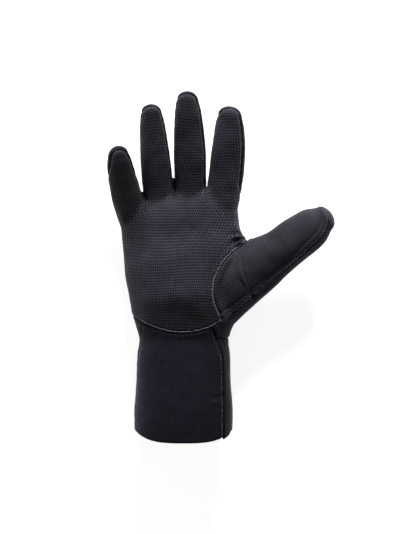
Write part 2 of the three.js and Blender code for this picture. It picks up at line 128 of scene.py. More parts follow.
def through(knots, values, at):
    # smooth curve through a table's values
    knots, values = np.asarray(knots, float), np.asarray(values, float)
    at = np.clip(at, knots[0], knots[-1])
    slopes = np.gradient(values, knots)
    i = np.clip(np.searchsorted(knots, at, side="right") - 1, 0, len(knots) - 2)
    span = knots[i + 1] - knots[i]
    t = (at - knots[i]) / span
    return ((1 + 2 * t) * (1 - t) ** 2 * values[i] + t * (1 - t) ** 2 * span * slopes[i]
            + t * t * (3 - 2 * t) * values[i + 1] + t * t * (t - 1) * span * slopes[i + 1])


def smoothStep(low, high, x):
    t = np.clip((x - low) / (high - low), 0, 1)
    return t * t * (3 - 2 * t)


def tube(centres, rights, ups, halfWide, halfDeep, square, sides):
    angles = 2 * np.pi * np.arange(sides) / sides
    across = np.sign(np.cos(angles)) * np.abs(np.cos(angles)) ** (2 / square)
    above = np.sign(np.sin(angles)) * np.abs(np.sin(angles)) ** (2 / square)
    rings = (centres[:, None] + rights[:, None] * (halfWide[:, None] * across)[..., None]
             + ups[:, None] * (halfDeep[:, None] * above)[..., None])
    count = len(rings)
    points = np.concatenate([rings.reshape(-1, 3), rings[:1].mean(1), rings[-1:].mean(1)])
    faces = []
    start, end = count * sides, count * sides + 1
    for j in range(sides):
        k = (j + 1) % sides
        faces.append((start, j, k))
        faces.append((end, (count - 1) * sides + k, (count - 1) * sides + j))
        for i in range(count - 1):
            low, high = i * sides, (i + 1) * sides
            faces.append((low + j, high + j, high + k, low + k))
    return points, faces


def bodyTube():
    y = np.concatenate([np.linspace(bodyRows[0, 0], onHand(0.85), 90),
                        np.linspace(onHand(0.86), knuckleY, 16)])
    wide, deep, shift, under, slant = (through(bodyRows[:, 0], bodyRows[:, k], y) for k in range(1, 6))
    slant = np.radians(slant)
    zero = np.zeros_like(y)
    centres = np.stack([shift, y, under - hand["restFlat"] + deep / 2], 1)
    rights = np.stack([np.cos(slant), np.sin(slant), zero], 1)
    ups = np.tile([0.0, 0.0, 1.0], (len(y), 1))
    points, faces = tube(centres, rights, ups, wide / 2, deep / 2, hand["squareness"], 120)
    points[:, 2] = np.maximum(points[:, 2], 0)
    return points, faces


def digitPlace(digit, at):
    lean = math.radians(digit["lean"])
    along = at * digit["length"]
    swing = digit["bow"] * 4 * at * (1 - at)
    x = digit["root"][0] + along * math.sin(lean) + swing * math.cos(lean)
    y = digit["root"][1] + along * math.cos(lean) - swing * math.sin(lean)
    z = digit["rootZ"] + digit["rise"] * np.sign(at) * np.abs(at) ** 1.5
    return np.stack([x, y, z], 1)


def digitTube(digit):
    rows, length, dome = digit["rows"], digit["length"], digit["dome"]
    domeStart = 1 - dome / length
    knots = np.append(rows[:, 0], domeStart)
    at = np.linspace(rows[0, 0], domeStart, 60)
    wide = through(knots, np.append(rows[:, 1], digit["domeWide"]), at)
    deep = through(knots, np.append(rows[:, 2], digit["domeWide"]), at)
    side = through(knots, np.append(rows[:, 3], 0.75 * rows[-1, 3]), at)
    step = np.sin(np.linspace(0, np.pi / 2, 14))[1:-1]
    at = np.append(at, 1 - dome * (1 - step) / length)
    wide = np.append(wide, digit["domeWide"] * np.sqrt(1 - step ** 2))
    deep = np.append(deep, digit["domeWide"] * np.sqrt(1 - step ** 2))
    side = np.append(side, np.full(len(step), side[-1]))
    lean = math.radians(digit["lean"])
    right = np.array([math.cos(lean), -math.sin(lean), 0])
    ahead = digitPlace(digit, at + 0.01) - digitPlace(digit, at - 0.01)
    ahead /= np.linalg.norm(ahead, axis=1)[:, None]
    rights = np.tile(right, (len(at), 1))
    centres = digitPlace(digit, at) + right * (side * digit["width"])[:, None]
    return tube(centres, rights, np.cross(rights, ahead), 0.5 * wide * digit["width"],
                0.5 * deep * digit["depth"], 2, 64)


def arraysOf(mesh):
    points = np.empty(len(mesh.vertices) * 3)
    mesh.vertices.foreach_get("co", points)
    mesh.calc_loop_triangles()
    triangles = np.empty(len(mesh.loop_triangles) * 3, dtype=np.int64)
    mesh.loop_triangles.foreach_get("vertices", triangles)
    return points.reshape(-1, 3), triangles.reshape(-1, 3)


# Skin of the whole glove: the lofts are joined by a remesh, and the creases between them smoothed.
# Only what lies before thumbFrom in x is spread.
skin = {"voxel": 1.0, "smoothing": 6, "webSmoothing": 26, "spread": 1.7, "slit": 1.1, "thumbFrom": 75.0}
# One web closes the narrow gap between the ring and middle fingers, and one rounds the thumb's crotch.
fingerWeb = {"y": (48, 71), "top": 55, "reach": 17, "x": -7.2, "z": 14, "climb": 0.1,
             "wide": 4.0, "deep": 6.5}
thumbWeb = {"y": [9, 12, 17.2, 22.4, 27, 31], "edge": [59, 58, 55.4, 52.4, 50.2, 48.5],
            "z": 23, "wide": 5.0, "deep": 9.0}


def webTube(y, *sizes):
    # sizes: middle in x and z, half width and half depth, each one number or one per y
    x, z, halfWide, halfDeep = (np.broadcast_to(size, y.shape) for size in sizes)
    rights = np.tile([1.0, 0.0, 0.0], (len(y), 1))
    ups = np.tile([0.0, 0.0, 1.0], (len(y), 1))
    return tube(np.stack([x, y, z], 1), rights, ups, halfWide, halfDeep, 2, 16)


def webs():
    web = fingerWeb
    y = np.linspace(*web["y"], 16)
    off = y - web["top"]
    rounding = np.sqrt(np.clip(1 - (off / web["reach"]) ** 2, 0, 1))
    narrow = webTube(y, web["x"], web["z"] + web["climb"] * off, web["wide"], web["deep"] * rounding)
    web = thumbWeb
    y = np.linspace(web["y"][0], web["y"][-1], 12)
    edge = np.interp(y, web["y"], web["edge"])
    return [narrow, webTube(y, edge - web["wide"], web["z"], web["wide"], web["deep"])]


def slitLines():
    # middle line of the slit between each two fingers, as x over a row of heights y
    y = np.linspace(knuckleY - 12, knuckleY + 60, 30)
    rows = []
    for left, right in zip(fingers, fingers[1:]):
        sides = []
        for finger, sign in ((left, 1), (right, -1)):
            lean = math.radians(finger["lean"])
            at = np.minimum((y - finger["root"][1]) / math.cos(lean) / finger["length"], 1)
            wide = through(finger["rows"][:, 0], finger["rows"][:, 1], at) * finger["width"]
            sides.append(digitPlace(finger, at)[:, 0] + sign * wide / 2)
        rows.append(0.5 * (sides[0] + sides[1]))
    return y, rows


def spreadBy(x, y):
    # how far the fingers are moved apart while the lofts are joined, so that narrow slits stay open
    lineY, rows = slitLines()
    total = np.zeros_like(x)
    for row in rows:
        off = x - np.interp(y, lineY, row)
        total += skin["spread"] * (smoothStep(-skin["slit"], skin["slit"], off) - 0.5)
    return total * smoothStep(knuckleY - 14, knuckleY, y)


def unspread(points):
    low, high = points[:, 0] - 4, points[:, 0] + 4
    for _ in range(24):
        middle = 0.5 * (low + high)
        over = middle + spreadBy(middle, points[:, 1]) > points[:, 0]
        low, high = np.where(over, low, middle), np.where(over, middle, high)
    onFingers = points[:, 0] < skin["thumbFrom"]
    points[onFingers, 0] = 0.5 * (low + high)[onFingers]


def gloveSkin():
    allPoints, allFaces, start = [], [], 0
    for points, faces in [bodyTube()] + webs() + [digitTube(digit) for digit in digits]:
        if points[:, 0].max() < skin["thumbFrom"]:
            points[:, 0] += spreadBy(points[:, 0], points[:, 1])
        allPoints.append(points)
        allFaces += [tuple(corner + start for corner in face) for face in faces]
        start += len(points)
    mesh = bpy.data.meshes.new("skin")
    mesh.from_pydata(np.concatenate(allPoints) * mm, [], allFaces)
    form = bpy.data.objects.new("skin", mesh)
    bpy.context.scene.collection.objects.link(form)
    remesh = form.modifiers.new("remesh", "REMESH")
    remesh.mode = "VOXEL"
    remesh.voxel_size = skin["voxel"] * mm
    whole = form.evaluated_get(bpy.context.evaluated_depsgraph_get()).to_mesh()
    points, triangles = arraysOf(whole)
    bpy.data.objects.remove(form)
    bpy.data.meshes.remove(mesh)
    return points / mm, triangles


def sidesOf(triangles):
    return np.concatenate([triangles[:, [0, 1]], triangles[:, [1, 2]], triangles[:, [2, 0]]])


def edgesOf(triangles):
    return np.unique(np.sort(sidesOf(triangles), axis=1), axis=0)


def averaged(values, edges, count):
    total = np.zeros_like(values)
    number = np.bincount(edges.ravel(), minlength=count).astype(float)
    for k in range(values.shape[1]):
        total[:, k] = (np.bincount(edges[:, 0], values[edges[:, 1], k], count)
                       + np.bincount(edges[:, 1], values[edges[:, 0], k], count))
    return total / np.maximum(number, 1)[:, None]


def normalsOf(points, triangles):
    a, b, c = (points[triangles[:, k]] for k in range(3))
    faceNormals = np.cross(b - a, c - a)
    total = np.zeros_like(points)
    for k in range(3):
        for axis in range(3):
            total[:, axis] += np.bincount(triangles[:, k], faceNormals[:, axis], len(points))
    return total / np.maximum(np.linalg.norm(total, axis=1), 1e-12)[:, None]


points, triangles = gloveSkin()
x, y, z = points.T
edges = edgesOf(triangles)
# the crotches between the fingers and at the thumb are smoothed for longer
atFingers = np.abs(y - knuckleY + 12 - 0.17 * x)
atThumb = np.hypot(x - 52, y - 12)
near = np.maximum(smoothStep(13, 5, atFingers) * (x < 60), smoothStep(34, 16, atThumb))
for i in range(skin["webSmoothing"]):
    share = 0.5 if i < skin["smoothing"] else 0.5 * near[:, None]
    points += share * (averaged(points, edges, len(points)) - points)
unspread(points)
points[:, 2] = np.maximum(points[:, 2], 0.05)
print("skin:", len(points), "points,", len(triangles), "triangles")

# Where the seams run, seen from above the palm
seams = {
    "edgeWrap": 6.0, "thumbWrap": 7.0, "webHeight": 15.0, "turnFrom": 46.0, "turnTo": 66.0,
    "capLength": 2.4, "palmLow": 5.0, "palmRise": 12.5, "cuffInset": 7.0, "gap": 0.12,
    "thumbOuter": [(-0.12, 0.42), (0.05, 0.43), (0.18, 0.4), (0.35, 0.39), (0.55, 0.35), (0.72, 0.3),
                   (0.82, 0.26), (0.9, 0.16), (0.95, 0.02), (0.965, -0.16)],
    "thumbPalm": [(-0.125, 0.42), (-0.105, 0.2), (-0.085, 0), (-0.056, -0.175), (-0.014, -0.32),
                  (0.047, -0.45), (0.126, -0.575), (0.208, -0.627), (0.292, -0.645), (0.38, -0.66)],
    "cuff": [(-0.11, 0.115), (0, 0.085), (0.12, 0.03), (0.3, 0.005), (0.5, 0), (1.2, 0)],
}
farAway = 400.0


def thumbPoint(along, across):
    lean = math.radians(thumb["lean"])
    ahead, side = along * thumb["length"], across * thumb["width"]
    return (thumb["root"][0] + ahead * math.sin(lean) + side * math.cos(lean),
            thumb["root"][1] + ahead * math.cos(lean) - side * math.sin(lean))


def smoothLine(line, steps=60):
    line = np.array(line, float)
    knots = np.append(0, np.cumsum(np.linalg.norm(np.diff(line, axis=0), axis=1)))
    at = np.linspace(0, knots[-1], steps)
    return np.stack([through(knots, line[:, k], at) for k in range(2)], 1)


def palmSeam():
    end = thumbPoint(*seams["thumbOuter"][0])
    half = ww / 2
    x = np.linspace(-1.5 * half, end[0] - 0.6 * seams["palmRise"], 40)
    return np.stack([x, wristY + seams["palmLow"] + seams["palmRise"] * (x / half) ** 2], 1)


def tipArc(finger):
    lean = math.radians(finger["lean"])
    radius = 0.5 * finger["domeWide"] * finger["width"]
    back = finger["length"] - seams["capLength"] - radius
    middle = digitPlace(finger, np.array([back / finger["length"]]))[0, :2]
    right = np.array([math.cos(lean), -math.sin(lean)])
    ahead = np.array([math.sin(lean), math.cos(lean)])
    angles = np.linspace(0, np.pi, 24)
    arc = middle + np.outer(1.12 * radius * np.cos(angles), right) + np.outer(radius * np.sin(angles), ahead)
    foot = [middle + sign * 0.62 * finger["width"] * right - 12 * ahead for sign in (1, -1)]
    return np.concatenate([[foot[0]], arc, [foot[1]]])


def outlines():
    low = palmSeam()
    outer = smoothLine([thumbPoint(*row) for row in seams["thumbOuter"]])
    tips = np.concatenate([tipArc(finger) for finger in reversed(fingers)])
    front = np.concatenate([low, outer, [thumbPoint(1.05, -0.7)], tips,
                            [(-farAway, tips[-1, 1]), (-farAway, low[0, 1])]])
    arc = smoothLine([thumbPoint(*row) for row in seams["thumbPalm"]])
    beyond, wrist = thumbPoint(0.62, -1.6), thumbPoint(-0.16, 0.9)
    onThumb = np.concatenate([[wrist], arc, [beyond, (farAway, beyond[1]), (farAway, wrist[1])]])
    long = smoothLine([(cw / 2 - seams["cuffInset"] - inward * ww, wristY - along * hand["cuffLength"])
                       for along, inward in seams["cuff"]])
    top = low[low[:, 0] < long[0, 0] - 1]
    cuff = np.concatenate([top, long, [(-farAway, long[-1, 1]), (-farAway, top[0, 1])]])
    return front, onThumb, cuff


def insideBy(spots, outline):
    # how far inside an outline each spot lies, below zero outside
    best = np.full(len(spots), 1e9)
    inside = np.zeros(len(spots), bool)
    for a, b in zip(outline, np.roll(outline, -1, axis=0)):
        d = b - a
        rel = spots - a
        t = np.clip((rel @ d) / max(d @ d, 1e-9), 0, 1)
        best = np.minimum(best, np.hypot(rel[:, 0] - t * d[0], rel[:, 1] - t * d[1]))
        crosses = (a[1] > spots[:, 1]) != (b[1] > spots[:, 1])
        if d[1] != 0:
            inside ^= crosses & (spots[:, 0] < a[0] + (spots[:, 1] - a[1]) * d[0] / d[1])
    return np.where(inside, best, -best)


def seamHeight(x, y):
    # height of the surface in which the side seams run
    wide, deep, shift, under = (through(bodyRows[:, 0], bodyRows[:, k], y) for k in range(1, 5))
    middle = under - hand["restFlat"] + deep / 2
    middle = np.where(y > knuckleY, middle[np.argmin(np.abs(y - knuckleY))], middle)
    edge = middle - seams["edgeWrap"] * smoothStep(wristY, onHand(0.3), y)
    web = edge + (seams["webHeight"] - edge) * smoothStep(onHand(0.5), onHand(0.9), y)
    slope = thumb["rise"] / (thumb["length"] * math.sin(math.radians(thumb["lean"])))
    columns = []
    for i, finger in enumerate(fingers):
        lean = math.radians(finger["lean"])
        reach = np.maximum(0, (y - finger["root"][1]) / math.cos(lean))
        at = reach / finger["length"]
        swing = np.where(at < 1, finger["bow"] * 4 * at * (1 - at), 0)
        fx = finger["root"][0] + reach * math.sin(lean) + swing
        fz = finger["rootZ"] + finger["rise"] * at ** 1.5
        turn = smoothStep(seams["turnFrom"], seams["turnTo"], y - (14 if i == 0 else 0))
        leftStart, rightStart = (edge if i == 0 else web), (edge if i == 3 else web)
        left = leftStart + (fz + 0.5 * finger["leftSeam"] * finger["depth"] - leftStart) * turn
        right = rightStart + (fz + 0.5 * finger["rightSeam"] * finger["depth"] - rightStart) * turn
        halfDigit = 0.49 * finger["width"]
        crossed = np.zeros_like(y)
        if columns:
            crossed = np.maximum(0, 0.5 * (columns[-1][0] - (fx - halfDigit)) + 0.2)
            columns[-1] = (columns[-1][0] - crossed, columns[-1][1])
        columns += [(fx - halfDigit + crossed, left), (fx, 0.5 * (left + right)), (fx + halfDigit, right)]
    beside = np.maximum(columns[-1][0], shift + wide / 2) + 12
    onThumb = thumb["rootZ"] - seams["thumbWrap"] + slope * (beside - thumb["root"][0])
    besideZ = np.where(y < thumb["root"][1], edge, onThumb)
    columns = ([(np.full_like(y, -farAway), columns[0][1])] + columns
               + [(beside, besideZ), (np.full_like(y, farAway), besideZ + slope * (farAway - beside))])
    height = columns[0][1].copy()
    for (x0, z0), (x1, z1) in zip(columns, columns[1:]):
        t = (x - x0) / np.maximum(x1 - x0, 1e-6)
        height = np.where((t >= 0) & (t <= 1), z0 + t * (z1 - z0), height)
    return height


frontOutline, thumbOutline, cuffOutline = outlines()
overSeam = z - seamHeight(x, y)
inFront = np.minimum(overSeam, insideBy(points[:, :2], frontOutline))
inThumb = insideBy(points[:, :2], thumbOutline)
inCuffFront = np.minimum(overSeam, insideBy(points[:, :2], cuffOutline))
hemMiddle = cd / 2 - hand["restFlat"]
hemShape = np.clip(1 - ((z - hemMiddle) / (cd / 2)) ** 2, 0, 1) ** 1.5
endOfStrip = 1.8 * smoothStep(35.2, 36.2, x) * smoothStep(42.6, 40.5, x) * (z > hemMiddle)
overHem = y - hemY - hand["hemCurve"] * hemShape + endOfStrip
overWrist = y - wristY
regions = {
    "palm": np.minimum(inFront, -inThumb),
    "thumb": np.minimum(inFront, inThumb),
    "back": np.minimum(np.minimum(-inFront, -inCuffFront), overWrist),
    "cuffFront": np.minimum(inCuffFront, overHem),
    "cuffBack": np.minimum(np.minimum(np.minimum(-inFront, -inCuffFront), -overWrist), overHem),
}
print("seams placed")


def clipped(data, triangles, field):
    # keeps the part of a triangle mesh where the field is above zero, cutting through triangles
    above = field > 0
    count = above[triangles].sum(axis=1)
    cut = triangles[(count > 0) & (count < 3)]
    lone = above[cut].sum(axis=1) == 1
    odd = np.argmax(above[cut] == lone[:, None], axis=1)
    rows = np.arange(len(cut))
    a, b, c = cut[rows, odd], cut[rows, (odd + 1) % 3], cut[rows, (odd + 2) % 3]
    pairs = np.sort(np.concatenate([np.stack([a, b], 1), np.stack([a, c], 1)]), axis=1)
    pairs, place = np.unique(pairs, axis=0, return_inverse=True)
    share = field[pairs[:, 0]] / (field[pairs[:, 0]] - field[pairs[:, 1]])
    fresh = data[pairs[:, 0]] + share[:, None] * (data[pairs[:, 1]] - data[pairs[:, 0]])
    place = place.ravel() + len(data)
    ab, ac = place[:len(cut)], place[len(cut):]
    kept = np.concatenate([
        triangles[count == 3], np.stack([a, ab, ac], 1)[lone],
        np.stack([ab, b, c], 1)[~lone], np.stack([ab, c, ac], 1)[~lone],
    ])
    data = np.concatenate([data, fresh])
    label = np.arange(len(data))
    links = edgesOf(kept)
    while True:
        lowest = np.minimum(label[links[:, 0]], label[links[:, 1]])
        before = label.copy()
        np.minimum.at(label, links[:, 0], lowest)
        np.minimum.at(label, links[:, 1], lowest)
        label = label[label]
        if (label == before).all():
            break
    main = np.bincount(label[kept[:, 0]]).argmax()
    kept = kept[label[kept[:, 0]] == main]
    used, index = np.unique(kept, return_inverse=True)
    return data[used], index.reshape(-1, 3)


def rimsOf(triangles):
    # closed loops of the open edges, each with the surface on its left
    sides = sidesOf(triangles)
    size = triangles.max() + 1
    forward = sides[:, 0] * size + sides[:, 1]
    backward = sides[:, 1] * size + sides[:, 0]
    openSides = sides[~np.isin(forward, backward)]
    following = {int(i): int(j) for i, j in openSides}
    loops = []
    while following:
        start = next(iter(following))
        loop, here = [], start
        while here in following:
            loop.append(here)
            here = following.pop(here)
        loops.append(loop)
    return openSides, loops


# Every seam as runs of points on the smooth skin, sorted by which cutting line made it.
cuts = {
    "palm": {"side": overSeam, "outline": insideBy(points[:, :2], frontOutline), "arc": -inThumb},
    "thumb": {"side": overSeam, "outline": insideBy(points[:, :2], frontOutline), "arc": inThumb},
    "cuffFront": {"side": overSeam, "outline": insideBy(points[:, :2], cuffOutline), "hem": overHem},
    "cuffBack": {"side": -inFront, "outline": -inCuffFront, "wrist": -overWrist, "hem": overHem},
}


def resampled(run, pitch):
    lengths = np.append(0, np.cumsum(np.linalg.norm(np.diff(run, axis=0), axis=1)))
    count = max(2, int(lengths[-1] / pitch))
    at = np.linspace(0, lengths[-1], count + 1)
    return np.stack([np.interp(at, lengths, run[:, k]) for k in range(3)], 1)


def evened(run, passes=14):
    run = resampled(run, 1)
    for _ in range(passes):
        run[1:-1] = 0.5 * run[1:-1] + 0.25 * (run[:-2] + run[2:])
    return run


def seamRuns(panel):
    fields = np.stack(list(cuts[panel].values()), 1)
    data, kept = clipped(np.hstack([points, fields]), triangles, regions[panel])
    names = list(cuts[panel])
    runs = []
    for loop in rimsOf(kept)[1]:
        kinds = [names[k] for k in np.argmin(np.abs(data[loop, 3:]), axis=1)]
        turn = next((i for i in range(len(loop)) if kinds[i] != kinds[i - 1]), 0)
        loop, kinds = loop[turn:] + loop[:turn], kinds[turn:] + kinds[:turn]
        start = 0
        for i in range(1, len(loop) + 1):
            if i == len(loop) or kinds[i] != kinds[start]:
                run = data[loop[start:i], :3]
                if len(run) > 12:
                    runs.append((kinds[start], evened(run)))
                start = i
    return runs


lines = {panel: seamRuns(panel) for panel in cuts}
print({panel: [(kind, len(run)) for kind, run in runs] for panel, runs in lines.items()})


def distanceTo(runs):
    # how far every point of the skin lies from a set of runs, and how far along them
    spots = np.concatenate(runs)
    tree = kdtree.KDTree(len(spots))
    for i, spot in enumerate(spots):
        tree.insert(spot, i)
    tree.balance()
    found = [tree.find(point) for point in points]
    return np.array([spot[2] for spot in found]), np.array([float(spot[1]) for spot in found])


def runsOf(*wanted):
    return [run for panel, kind in wanted for name, run in lines[panel] if name == kind]


thumbOuterRuns = runsOf(("thumb", "outline"), ("thumb", "side"))
arcRuns = runsOf(("palm", "arc"))
palmEdges = runsOf(("palm", "side"), ("palm", "outline"))
palmHemRuns = [run for run in palmEdges if run[:, 1].mean() < -30 and np.ptp(run[:, 0]) > 40]
sideRuns = [run for run in palmEdges if not any(run is hem for hem in palmHemRuns)]
cuffRuns = runsOf(("cuffFront", "outline"), ("cuffFront", "side"), ("cuffBack", "wrist")) + palmHemRuns
(toThumbOuter, alongThumb), (toArc, alongArc) = distanceTo(thumbOuterRuns), distanceTo(arcRuns)
(toSide, _), (toCuff, alongCuff) = distanceTo(sideRuns), distanceTo(cuffRuns)
print("seam distances ready")


# Soft unevenness: sums of waves in random directions, from -1 to 1
def rolling(spots, length, count=14):
    total = np.zeros(len(spots))
    for _ in range(count):
        way = rng.normal(size=3)
        way *= 2 * np.pi / (length * rng.uniform(0.7, 1.5) * np.linalg.norm(way))
        total += np.sin(spots @ way + rng.uniform(0, 6.3))
    return total / math.sqrt(count)


def toPath(spots, path):
    # how far each spot lies from a path, and at which share of the path's length
    path = np.array(path, float)
    steps = np.linalg.norm(np.diff(path, axis=0), axis=1)
    starts = np.append(0, np.cumsum(steps))
    best, share = np.full(len(spots), 1e9), np.zeros(len(spots))
    for a, b, start, step in zip(path, path[1:], starts, steps):
        d = b - a
        t = np.clip(((spots - a) @ d) / (d @ d), 0, 1)
        distance = np.linalg.norm(spots - a - t[:, None] * d, axis=1)
        share = np.where(distance < best, (start + t * step) / starts[-1], share)
        best = np.minimum(best, distance)
    return best, share


def ridge(distance, wide, at=0):
    # 1 where the distance is at, and falling softly to both sides of it
    return np.exp(-((distance - at) / wide) ** 2)


# Folds of the palm's side, seen from above: path, half width and height, creases below zero.
# Each fades out over the last part of its path, from the share it is held to.
folds = [
    {"path": [(61.5, -30.2), (56.5, -20.1), (53.2, -11), (51.6, -3), (51.1, 7)], "wide": 1.7, "high": -1.2},
    {"path": [(59.8, -24), (57.4, -15), (55.4, -6), (54.8, 3), (54.8, 9)], "wide": 1.9, "high": -0.7},
    {"path": [(61, -31.6), (57.2, -26.4), (51.5, -19.5), (47, -11)], "wide": 1.9, "high": -0.9},
    {"path": [(59.6, -25.5), (55.6, -14), (53.6, -5), (53, 8)], "wide": 1.6, "high": 1.0},
    {"path": [(57.5, -26.5), (51.6, -15.5), (49.2, -6), (48.4, 5)], "wide": 2.2, "high": 1.0},
    {"path": [(56.5, 17.5), (51, 18.3), (45.5, 16.4), (40.5, 12.4), (37, 8)],
     "wide": 1.4, "high": -0.9, "held": 0.4},
    {"path": [(54.5, 20.6), (49, 22.3), (42.5, 22.2), (36, 20)], "wide": 1.6, "high": -0.9, "held": 0.35},
    {"path": [(55, 19), (49, 20.4), (42, 19.4), (37, 15.5)], "wide": 1.6, "high": 1.2, "held": 0.4},
    {"path": [(53, 14.2), (48.5, 11.8), (44.5, 6.5)], "wide": 1.3, "high": -0.8, "held": 0.3},
    {"path": [(-6.4, 55.5), (-6.8, 60), (-7.1, 66), (-7.3, 72), (-7.5, 78)],
     "wide": 1.2, "high": -1.6, "held": 0.8},
    {"path": [(19.4, 60.6), (19.5, 66), (19.7, 72)], "wide": 0.9, "high": -1.6},
    {"path": [(-31.4, 51.4), (-32.8, 58.4), (-34.4, 65)], "wide": 0.9, "high": -1.6},
    {"path": [(9.6, 141.5), (12.6, 138.4), (15.4, 133)], "wide": 0.9, "high": -0.9},
    {"path": [(-33.6, -56.5), (-36, -66), (-37.9, -84), (-38.8, -100)], "wide": 0.9, "high": -0.9},
    {"path": [(35.4, -115.6), (31, -117), (24, -119)], "wide": 1.8, "high": -0.6},
    {"path": [(34.5, -121), (29, -122), (22, -121)], "wide": 2.4, "high": 0.4},
]
normals = normalsOf(points, triangles)
lift = np.zeros(len(points))
upward = smoothStep(-0.1, 0.5, normals[:, 2])
facing = smoothStep(0.45, 0.85, normals[:, 2])
for fold in folds:
    distance, share = toPath(points[:, :2], fold["path"])
    fading = smoothStep(1.02, fold.get("held", 0.45), share)
    lift += fold["high"] * upward * fading * ridge(distance, fold["wide"])

# The cloth's own unevenness: long swells and short ripples, lower on the cuff and on steep faces
uneven = {"pucker": 6, "swell": 42, "ripple": 14, "gather": 30}        # lengths of the waves
pucker = 1 + 0.3 * rolling(points, uneven["pucker"])
onHandShare = 0.4 + 0.6 * smoothStep(wristY - 10, wristY + 20, y)
lift += onHandShare * (0.12 + 0.45 * facing) * rolling(points, uneven["swell"])
lift += (0.05 + 0.1 * facing * onHandShare) * rolling(points, uneven["ripple"])

# Relief of each seam: its groove as depth and half width, the soft ridge beside it as height, half width
# and distance, and the small wrinkles that run away from the sewing as height, pitch and reach.
seamRelief = [
    {"to": toSide, "groove": (0.85, 1.0), "ridge": (0.22, 1.8, 3.2)},
    {"to": toArc, "along": alongArc, "groove": (0.8, 1.1), "ridge": (0.4, 1.6, 3),
     "gathers": (0.13, 3.1, 6)},
    {"to": toThumbOuter, "along": alongThumb, "groove": (0.35, 0.8), "ridge": (0.45, 1.2, 2.2),
     "gathers": (0.12, 3.3, 5), "even": True},
    {"to": toCuff, "along": alongCuff, "groove": (0.7, 1.0), "ridge": (0.3, 1.6, 3),
     "gathers": (0.06, 4.1, 4)},
]
for seam in seamRelief:
    high, wide, at = seam["ridge"]
    deep, grooveWide = seam["groove"]
    profile = high * ridge(seam["to"], wide, at) - deep * ridge(seam["to"], grooveWide)
    lift += profile if seam.get("even") else pucker * profile
    if "gathers" in seam:
        high, pitch, reach = seam["gathers"]
        sway = 0.8 * rolling(points, uneven["gather"])
        lift += high * np.sin(2 * np.pi * seam["along"] / pitch + sway) * ridge(seam["to"], reach)
steepness = 1 - np.abs(normals[:, 2])
lift *= 1 - 0.75 * smoothStep(112, 120, x) * smoothStep(0.4, 0.8, steepness)       # calm end of the thumb
lift -= 0.4 * ((inThumb > 0) & (inFront > 0)) * ridge(toThumbOuter, 1.3, 5.2)
# walls of the slits between the fingers, filled where the number is above zero and hollowed below it
slitY, slitX = slitLines()
walls = smoothStep(0.2, 0.6, steepness) * smoothStep(knuckleY + 18, knuckleY + 4, y)
walls *= smoothStep(knuckleY - 12, knuckleY - 9, y)
for row, fill in zip(slitX, [0.3, -0.3, 0.3]):
    lift += fill * walls * ridge(x - np.interp(y, slitY, row), 4)
hemRound = 1.6
intoHem = np.clip(hemRound - overHem, 0, hemRound)
lift -= hemRound - np.sqrt(np.maximum(hemRound ** 2 - intoHem ** 2, 0))
points = points + lift[:, None] * normals
points[:, 2] = np.maximum(points[:, 2], 0.1)
x, y, z = points.T
normals = normalsOf(points, triangles)
print("folds and seams pressed in")


# Weave coordinates in millimetres: across and along each digit, and over the palm
def arcTable(a, b, square, count=400):
    angle = np.linspace(-np.pi, np.pi, count)
    outline = np.stack([a * np.sign(np.cos(angle)) * np.abs(np.cos(angle)) ** (2 / square),
                        b * np.sign(np.sin(angle)) * np.abs(np.sin(angle)) ** (2 / square)], 1)
    # an angle of 0 is the palm's side, and the length grows towards +X
    seen = np.arctan2(outline[:, 0] / a, outline[:, 1] / b)
    order = np.argsort(seen)
    spread = np.append(0, np.cumsum(np.linalg.norm(np.diff(outline[order], axis=0), axis=1)))
    return seen[order], spread - np.interp(0, seen[order], spread)


def folded(around, furthest):
    # runs back again over the far side, so the weave has no jump down the middle of the back
    return np.sign(around) * np.minimum(np.abs(around), furthest - np.abs(around))


def weaveOf(digit):
    # along and across the digit, and round it from the middle of the palm's side
    lean = math.radians(digit["lean"])
    along = (points[:, :2] - np.array(digit["root"])) @ np.array([math.sin(lean), math.cos(lean)])
    centre = digitPlace(digit, np.clip(along / digit["length"], -0.2, 1))
    across = (x - centre[:, 0]) * math.cos(lean) - (y - centre[:, 1]) * math.sin(lean)
    seen, spread = arcTable(digit["width"] / 2, digit["depth"] / 2, 2)
    angle = np.arctan2(across / digit["width"], (z - centre[:, 2]) / digit["depth"])
    return along, across, folded(np.interp(angle, seen, spread), spread.max())


middleX = through(bodyRows[:, 0], bodyRows[:, 3], np.minimum(y, knuckleY))
middleZ = np.interp(y, bodyRows[:, 0], bodyRows[:, 4] + bodyRows[:, 2] / 2)
seen, spread = arcTable(pw / 2, pd / 2, hand["squareness"])
angle = np.arctan2((x - middleX) / pw, (z - middleZ) / pd)
around = folded(np.interp(angle, seen, spread), spread.max())
weave = np.stack([around + middleX, y, np.zeros(len(points))], 1)
# The columns lean right across the upper palm, and a little on the fingers.
leanShift = (0.36 + 0.002 * x) * np.maximum(0, np.minimum(y, knuckleY) + 0.17 * x - 12)
fingerLean = np.interp(x, [-30, 20, 45], [0.2, 0.1, -0.04]) * np.maximum(0, y - knuckleY)
nearest = np.full(len(points), 1e9)
fingerWeave = weave.copy()
for finger in fingers:
    along, across, around = weaveOf(finger)
    own = np.abs(across) / finger["width"]
    closer = (own < nearest) & (along > -20)
    nearest = np.where(closer, own, nearest)
    fingerWeave[closer, 0] = around[closer] + 1.12 * finger["root"][0]
    fingerWeave[closer, 1] = along[closer] + finger["root"][1]
toFingers = smoothStep(knuckleY - 22, knuckleY + 2, y - np.where(x < -30, -12, 0)) * (x < 58)
weave += toFingers[:, None] * (fingerWeave - weave)
thumbAlong, across, around = weaveOf(thumb)
thumbWeave = np.stack([around, thumbAlong, np.zeros(len(points))], 1)
onThumb = (np.abs(across) < 30) * (thumbAlong < 125) * (toFingers < 0.5)
onThumb = onThumb * smoothStep(0.3, 0.42, thumbAlong / thumb["length"])
weave += onThumb[:, None] * (thumbWeave - weave)
